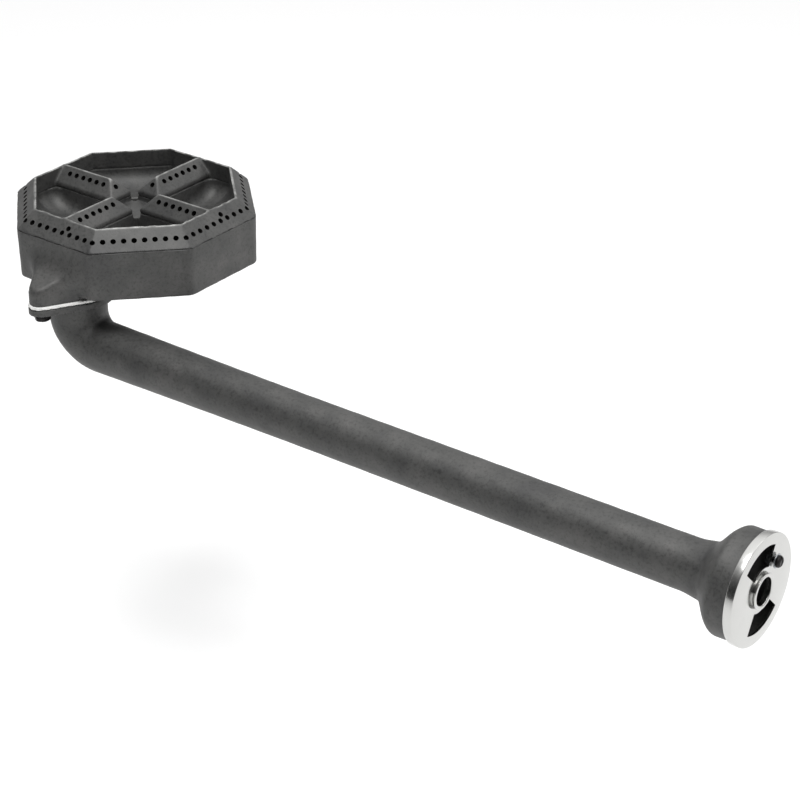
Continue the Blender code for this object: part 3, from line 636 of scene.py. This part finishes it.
def zinc_plate():
    """Zinc-plated steel: pale blue-grey with a dull spangle and a satin shine."""
    finish, tree, shader, place = new_finish("zinc_plated_steel", {"Metallic": 1.0})
    spangle = add_node(tree, "ShaderNodeTexVoronoi", {"Scale": 1 / 0.0016}, {"Vector": place})
    tone = ramp(tree, spangle.outputs["Distance"], [(0.0, linear("#8f9397")), (0.8, linear("#b4b7ba"))])
    tree.links.new(tone, shader.inputs["Base Color"])
    rough = ramp(tree, spangle.outputs["Distance"], [(0.0, grey(0.30)), (0.8, grey(0.42))])
    tree.links.new(rough, shader.inputs["Roughness"])
    return finish


def studio_paper():
    """Seamless white paper: matt, with a faint tooth."""
    finish, tree, shader, place = new_finish("studio_paper", {"Base Color": linear("#fbfbfb"), "Roughness": 0.9})
    tooth = add_node(tree, "ShaderNodeTexNoise", {"Scale": 1 / 0.003, "Detail": 2.0}, {"Vector": place})
    bump = add_node(tree, "ShaderNodeBump", {"Strength": 0.05, "Distance": 0.0002}, {"Height": tooth.outputs["Fac"]})
    tree.links.new(bump.outputs["Normal"], shader.inputs["Normal"])
    return finish


# Castings


def drill(mesh, place, normal, depth=0.0062):
    turn = Vector((0, 0, 1)).rotation_difference(normal).to_matrix()
    rings = []
    # The mouth is broken by a hair, as the drill leaves it in soft iron
    for run, radius in ((-depth, PORT_RADIUS), (-0.0002, PORT_RADIUS), (0.0010, PORT_RADIUS + 0.0005)):
        ring = []
        for i in range(20):
            a = 2 * pi * i / 20
            ring.append(place + turn @ Vector((radius * cos(a), radius * sin(a), run)))
        rings.append(ring)
    lofted(mesh, rings)


def ports():
    mesh = bmesh.new()
    row = RIDGE_APOTHEM + BEVEL_RUN * PORT_DROP
    row_z = CAP_Z + (HEAD_APOTHEM - row) * BEVEL_SLOPE
    pitch = 2 * row * tan(pi / 8) / PORTS_PER_SIDE
    carry = RIDGE_APOTHEM + BEVEL_RUN * CARRY_DROP
    carry_z = CAP_Z + (HEAD_APOTHEM - carry) * BEVEL_SLOPE
    bevel = Vector((BEVEL_SLOPE, 0, 1)).normalized()
    for face in range(8):
        turn = Matrix.Rotation(face * pi / 4, 3, "Z")
        for i in range(1, PORTS_PER_SIDE):
            across = (i - PORTS_PER_SIDE / 2) * pitch
            drill(mesh, turn @ Vector((row, across, row_z)), turn @ bevel)
        corner = Matrix.Rotation((face + 0.5) * pi / 4, 3, "Z")
        drill(mesh, corner @ Vector((row / cos(pi / 8), 0, row_z)), corner @ bevel)
        if face % 2 == 0:
            drill(mesh, turn @ Vector((carry, pitch, carry_z)), turn @ bevel)
    half = ARM_HALF * ARM_PORT_DROP
    side_z = ARM_TOP_Z - half * ARM_SLOPE
    for quarter in range(4):
        turn = Matrix.Rotation(quarter * pi / 2, 3, "Z")
        for sign in (1, -1):
            gable = Vector((0, sign * ARM_SLOPE, 1)).normalized()
            for i in range(ARM_PORTS):
                run = NOSE_FOOT + ARM_HALF + ARM_PORT_PITCH * (i + 0.5)
                drill(mesh, turn @ Vector((run, sign * half, side_z)), turn @ gable)
        nose = Vector((-ARM_SLOPE, 0, 1)).normalized()
        place = Vector((NOSE_FOOT + ARM_HALF / 2, 0, (ARM_TOP_Z + CAP_Z + ARM_SKIRT) / 2))
        drill(mesh, turn @ place, turn @ nose)
    return mesh


def cast_pieces(iron, bore_shade, step):
    side = spaced((-0.0915, 0.0915, step))
    front = spaced((INLET_Y - LUG_OFFSET - LUG_RADIUS - 0.002, 0.0915, step))
    head = poured(
        "head_casting", head_field, side, front, spaced((PAD_BOTTOM - 0.002, SEAM_Z + 0.002, step)),
        iron, "burner", "cast_iron", "head_floor", "head_wall", "head_bowls",
    )
    cap = poured(
        "port_casting", cap_field, side, side, spaced((CAP_Z - 0.002, ARM_TOP_Z + 0.002, step)),
        iron, "burner", "cast_iron", "port_cap",
    )
    # The drilled walls take the near-black bore material, painted shade inside the ports
    cut_with(cap, ports(), "drills", bore_shade)
    cap.data.shade_smooth()
    cap.data.set_sharp_from_angle(angle=radians(40))
    swell = BELL_START - SWELL_SETBACK
    xs = spaced((-0.033, 0.033, step), (0.033, swell, 0.004), (swell, BELL_FACE + 0.002, step))
    lugs = LUG_OFFSET + LUG_RADIUS + 0.002
    ys = spaced((INLET_Y - lugs, INLET_Y + lugs, step))
    zs = spaced((TUBE_Z - 0.039, FLANGE_TOP + 0.002, step))
    tube = poured("mixer_tube", tube_field, xs, ys, zs, iron, "burner", "cast_iron", "inlet_elbow", "mixer_tube", "bell_mouth")
    return head, cap, tube


# Sheet metal and fasteners


def sector(centre, half, inner, outer, steps=16):
    angles = [centre - half + 2 * half * i / steps for i in range(steps + 1)]
    points = [(outer * cos(a), outer * sin(a)) for a in angles]
    return points + [(inner * cos(a), inner * sin(a)) for a in reversed(angles)]


def slab(mesh, outline, back, front):
    rings = [[HUB + Vector((x, y, z)) for y, z in outline] for x in (back, front)]
    return lofted(mesh, rings)


def window_cutter(half):
    mesh = bmesh.new()
    for centre in (WINDOW_CENTRE, WINDOW_CENTRE + pi):
        slab(mesh, sector(centre, half, WINDOW_INNER, WINDOW_OUTER), band_high.x - 0.02, band_high.x + 0.02)
    return mesh


def mouth_band(nickel):
    """Pressed cup: a plate with two windows and a band drawn back over the bell's rim."""
    sheet, bore = 0.0012, HUB_HOLE + 0.0014
    front, back = band_high.x, band_low.x
    radius = MOUTH_RADIUS
    profile = [(front - sheet, bore), (front - sheet, radius - sheet), (back, radius - sheet)]
    profile += [(back, radius), (front, radius), (front, bore)]
    profile = softened(profile, 0.00055)
    mesh = turned(profile, 128, at=HUB)
    piece = placed("mouth_band", from_bmesh("mouth_band", mesh), nickel, "burner", "bright_plate", "mouth_cap", crease=50)
    cut_with(piece, window_cutter(WINDOW_HALF - radians(0.5)), "windows")
    hole = turned([(band_low.x, 0), (band_low.x, 0.0024), (band_high.x + 0.01, 0.0024), (band_high.x + 0.01, 0)], 32, at=lock_place())
    cut_with(piece, hole, "screw_hole")
    piece.data.shade_smooth()
    piece.data.set_sharp_from_angle(angle=radians(50))
    return piece


def lock_place():
    return HUB + Vector((0, LOCK_RADIUS * cos(LOCK_ANGLE), LOCK_RADIUS * sin(LOCK_ANGLE)))


def shutter_disc(nickel):
    """Air shutter: a thin disc with a rolled rim, two windows and the arc slot for its screw."""
    bore = HUB_HOLE + 0.0014
    back, rim, sheet, radius = disc_low.x, disc_high.x - disc_low.x, 0.0010, MOUTH_RADIUS
    profile = [
        (back, bore), (back, radius - 0.0008), (back + rim * 0.22, radius - 0.0001),
        (back + rim * 0.5, radius), (back + rim * 0.78, radius - 0.0002), (back + rim * 0.96, radius - 0.0010),
        (back + rim, radius - 0.0018), (back + rim * 0.93, radius - 0.0027), (back + rim * 0.66, radius - 0.0036),
        (back + sheet, radius - 0.0046), (back + sheet, bore),
    ]
    mesh = turned(softened(profile, 0.0003, 2), 128, at=HUB)
    piece = placed("shutter_disc", from_bmesh("shutter_disc", mesh), nickel, "shutter", "bright_plate", "air_shutter", crease=50)
    cut_with(piece, window_cutter(WINDOW_HALF), "windows")
    slot_start = WINDOW_CENTRE - WINDOW_HALF + radians(4)
    arc = sector((slot_start + SLOT_END) / 2, (slot_start - SLOT_END) / 2, LOCK_RADIUS - SLOT_HALF, LOCK_RADIUS + SLOT_HALF, 8)
    cut_with(piece, slab(bmesh.new(), arc, back - 0.01, back + 0.01), "arc_slot")
    end = HUB + Vector((0, LOCK_RADIUS * cos(SLOT_END), LOCK_RADIUS * sin(SLOT_END)))
    tip = turned([(back - 0.01, 0), (back - 0.01, SLOT_HALF), (back + 0.01, SLOT_HALF), (back + 0.01, 0)], 32, at=end)
    cut_with(piece, tip, "arc_slot_end")
    eased(piece, 0.00015, 2)
    return piece


def eyelet(nickel):
    """Hollow rivet that holds cup and disc together, its edge curled over on both sides."""
    back, front = eyelet_low.x, eyelet_high.x
    flange = (eyelet_high.y - eyelet_low.y) / 2
    profile = [
        (back, HUB_HOLE + 0.0003), (back, flange - 0.0004), (back + 0.0008, flange - 0.0003), (back + 0.0008, HUB_HOLE + 0.0011),
        (front - 0.0008, HUB_HOLE + 0.0011), (front - 0.0008, flange), (front - 0.0003, flange), (front, flange - 0.0008),
        (front, HUB_HOLE + 0.0010), (front - 0.0005, HUB_HOLE),
    ]
    mesh = turned(softened(profile, 0.0003), 96, at=HUB)
    return placed("hub_rivet", from_bmesh("hub_rivet", mesh), nickel, "burner", "bright_plate", "hub_eyelet", crease=60)


def washer(name, finish, slot, node, along):
    low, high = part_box(node)
    middle = (low + high) / 2
    size = high - low
    if along == "X":
        back, front, outer, bore, at = low.x, high.x, size.y / 2, 0.0023, Vector((0, middle.y, middle.z))
    else:
        back, front, outer, bore, at = low.z, high.z, size.x / 2, SCREW_HOLE, Vector((middle.x, middle.y, 0))
    profile = softened([(back, bore), (back, outer), (front, outer), (front, bore)], 0.00018)
    mesh = turned(profile, 64, along, at)
    return placed(name, from_bmesh(name, mesh), finish, "burner", slot, node, crease=50)


def hex_prism(mesh, flats, low, high, along, at):
    """A hexagon bar with its corners turned off at both ends."""
    reach = flats / 2 / cos(pi / 6)
    rings = []
    chamfer = flats * 0.07
    for run, corner in ((low, reach - chamfer * 0.9), (low + chamfer, reach), (high - chamfer, reach), (high, reach - chamfer * 0.9)):
        ring = []
        for k in range(24):
            a = 2 * pi * k / 24
            flat = flats / 2 / cos((a + pi / 6) % (pi / 3) - pi / 6)
            r = min(flat, corner)
            u, v = r * cos(a), r * sin(a)
            ring.append(Vector(at) + (Vector((run, u, v)) if along == "X" else Vector((u, v, run))))
        rings.append(ring)
    return lofted(mesh, rings)


def flange_screw(name, steel, node):
    low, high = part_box(node)
    at = Vector(((low.x + high.x) / 2, (low.y + high.y) / 2, 0))
    head_top = low.z + 0.0036
    mesh = hex_prism(bmesh.new(), 0.0111, low.z, head_top, "Z", at)
    piece = placed(name, from_bmesh(name, mesh), steel, "burner", "dark_steel", node, crease=30)
    shank = threaded(head_top - 0.0005, high.z, 0.00318, 0.00115, at)
    join_into(piece, shank)
    eased(piece, 0.0002, 2, 30)
    return piece


def threaded(low, high, radius, pitch, at):
    """A threaded shank drawn as close rings, since its helix can't be told from them."""
    profile = [(low, 0), (low, radius)]
    run = low + pitch
    while run < high - pitch:
        profile += [(run, radius), (run + pitch * 0.5, radius - pitch * 0.45)]
        run += pitch
    profile += [(high - pitch * 0.6, radius * 0.95), (high, radius * 0.75), (high, 0)]
    return turned(profile, 32, "Z", at)


def join_into(piece, mesh):
    other = bpy.data.objects.new("joined", from_bmesh("joined", mesh))
    bpy.context.scene.collection.objects.link(other)
    step = piece.modifiers.new("join", "BOOLEAN")
    step.object, step.operation, step.solver = other, "UNION", "EXACT"
    apply_steps(piece)
    bpy.data.objects.remove(other)


def lock_screw(steel):
    """Slotted pan head screw that clamps the shutter."""
    low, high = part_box("lock_screw")
    at = Vector((0, (low.y + high.y) / 2, (low.z + high.z) / 2))
    head = (high.y - low.y) / 2
    top = high.x
    seat = top - 0.0026
    profile = [(low.x, 0), (low.x, 0.0014), (low.x + 0.0006, 0.0020)]
    run = low.x + 0.0010
    while run < seat - 0.0010:
        profile += [(run, 0.0020), (run + 0.0004, 0.0017)]
        run += 0.0008
    profile += [(seat, 0.0020), (seat, head - 0.0002), (seat + 0.0004, head)]
    for i in range(1, 8):
        a = pi / 2 * i / 7
        profile.append((seat + 0.0004 + 0.0022 * sin(a), head * (0.5 + 0.5 * cos(a)) if i < 7 else 0))
    mesh = turned(profile, 48, at=at)
    piece = placed("lock_screw_body", from_bmesh("lock_screw_body", mesh), steel, "lock_screw", "dark_steel", "lock_screw", crease=45)
    slot = bmesh.new()
    outline = [(0.0005, -0.006), (0.0005, 0.006), (-0.0005, 0.006), (-0.0005, -0.006)]
    lofted(slot, [[at + Vector((x, y, z)) for y, z in outline] for x in (seat + 0.0014, top + 0.002)])
    cut_with(piece, slot, "driver_slot")
    eased(piece, 0.00012, 2, 40)
    return piece


def lock_nut(zinc):
    low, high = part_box("lock_nut")
    at = Vector((0, (low.y + high.y) / 2, (low.z + high.z) / 2))
    mesh = hex_prism(bmesh.new(), 0.0070, low.x, high.x, "X", at)
    piece = placed("shutter_nut", from_bmesh("shutter_nut", mesh), zinc, "burner", "zinc_plate", "lock_nut", crease=30)
    bore = turned([(low.x - 0.001, 0), (low.x - 0.001, 0.0023), (high.x + 0.001, 0.0023), (high.x + 0.001, 0)], 32, at=at)
    cut_with(piece, bore, "thread")
    eased(piece, 0.00015, 2, 30)
    return piece


def gasket(fibre):
    """Gasket sheet cut to the flange, its edge a little ragged and squeezed out past the iron."""
    bottom, top = gasket_low.z, gasket_high.z
    middle = (bottom + top) / 2

    def field(x, y, z):
        ragged = 0.00018 * (np.sin(x * 900 + y * 640) + np.sin(y * 1350 - x * 400) - 1.6)
        sheet = both(lozenge(x, y, -0.0002) - ragged, np.abs(z - middle) - (top - bottom) / 2, 0.0005)
        sheet = without(sheet, np.hypot(x, y - INLET_Y) - INLET_BORE, 0.0002)
        for side in (1, -1):
            sheet = without(sheet, np.hypot(x, y - INLET_Y - side * LUG_OFFSET) - SCREW_HOLE, 0.0002)
        return sheet

    wide, long = PAD_RADIUS + 0.003, LUG_OFFSET + LUG_RADIUS + 0.003
    return poured(
        "gasket_sheet", field, spaced((-wide, wide, 0.0009)), spaced((INLET_Y - long, INLET_Y + long, 0.0009)),
        spaced((bottom - 0.0011, top + 0.0011, 0.00055)), fibre, "burner", "gasket_sheet", "flange_gasket",
    )


# Studio


def studio_air():
    """Room light: a bright ceiling, dimmer walls, and a dark open side towards -Y."""
    world = bpy.data.worlds.new("studio_air")
    bpy.context.scene.world = world
    world.use_nodes = True
    tree = world.node_tree
    place = add_node(tree, "ShaderNodeTexCoord").outputs["Generated"]
    split = add_node(tree, "ShaderNodeSeparateXYZ", links={0: place})
    height = ramp(tree, split.outputs["Z"], [(0.0, grey(0.30)), (0.25, grey(0.38)), (0.6, grey(0.85)), (0.95, grey(1.0))])
    facing = add_node(tree, "ShaderNodeMath", {"operation": "MULTIPLY_ADD", 1: 0.5, 2: 0.5}, {0: split.outputs["Y"]})
    side = ramp(tree, facing.outputs[0], [(0.0, grey(0.04)), (0.2, grey(0.14)), (0.45, grey(0.8)), (0.7, grey(1.0))])
    both_ways = add_node(tree, "ShaderNodeMix", {"data_type": "RGBA", "blend_type": "MULTIPLY"}, {6: height, 7: side})
    both_ways.inputs[0].default_value = 1.0
    shell = tree.nodes["Background"]
    tree.links.new(both_ways.outputs[2], shell.inputs["Color"])
    shell.inputs["Strength"].default_value = 1.5


def studio():
    paper = studio_paper()
    mesh = bmesh.new()
    floor_z = MADE_BOX[0][2] - 0.30
    corners = [(-20, -20), (20, -20), (20, 20), (-20, 20)]
    mesh.faces.new([mesh.verts.new((x, y, floor_z)) for x, y in corners])
    data = from_bmesh("floor", mesh)
    data.materials.append(paper)
    floor = bpy.data.objects.new("floor", data)
    bpy.context.scene.collection.objects.link(floor)

    studio_air()

    aim = Vector((0.25, -0.03, 0))
    for name, at, size, power in (
        ("top_softbox", (0.35, -0.6, 2.0), 0.9, 30),
        ("side_softbox", (1.6, 1.0, 1.0), 0.9, 5),
    ):
        light = bpy.data.lights.new(name, "AREA")
        light.shape, light.size, light.energy = "SQUARE", size, power
        lamp = bpy.data.objects.new(name, light)
        lamp.location = at
        lamp.rotation_euler = (aim - Vector(at)).to_track_quat("-Z", "Y").to_euler()
        bpy.context.scene.collection.objects.link(lamp)

    lens = bpy.data.cameras.new("camera")
    lens.lens, lens.sensor_width = 102.9, 36
    lens.clip_start, lens.clip_end = 0.05, 50
    camera = bpy.data.objects.new("camera", lens)
    right, up, back = Vector((0.7991, 0.6012, 0)), Vector((-0.2838, 0.3771, 0.8817)), Vector((0.5301, -0.7045, 0.4719))
    turn = Matrix((right, up, back)).transposed().to_4x4()
    camera.matrix_world = Matrix.Translation((1.1227, -1.1581, 0.7260)) @ turn
    bpy.context.scene.collection.objects.link(camera)
    bpy.context.scene.camera = camera
    bpy.context.scene.view_settings.view_transform = "Standard"


def build():
    iron, fibre, nickel = sand_cast_iron(), fibre_sheet(), nickel_plate()
    steel, zinc = blacked_steel(), zinc_plate()
    studio()
    cast_pieces(iron, port_bore_painted_shade(), 0.0011)
    gasket(fibre)
    for place in ("outer", "inner"):
        washer(f"screw_washer_{place}", steel, "dark_steel", f"flange_washer_{place}", "Z")
        flange_screw(f"hex_screw_{place}", steel, f"flange_screw_{place}")
    mouth_band(nickel)
    shutter_disc(nickel)
    eyelet(nickel)
    washer("shutter_washer", zinc, "zinc_plate", "lock_washer", "X")
    lock_screw(steel)
    lock_nut(zinc)


build()
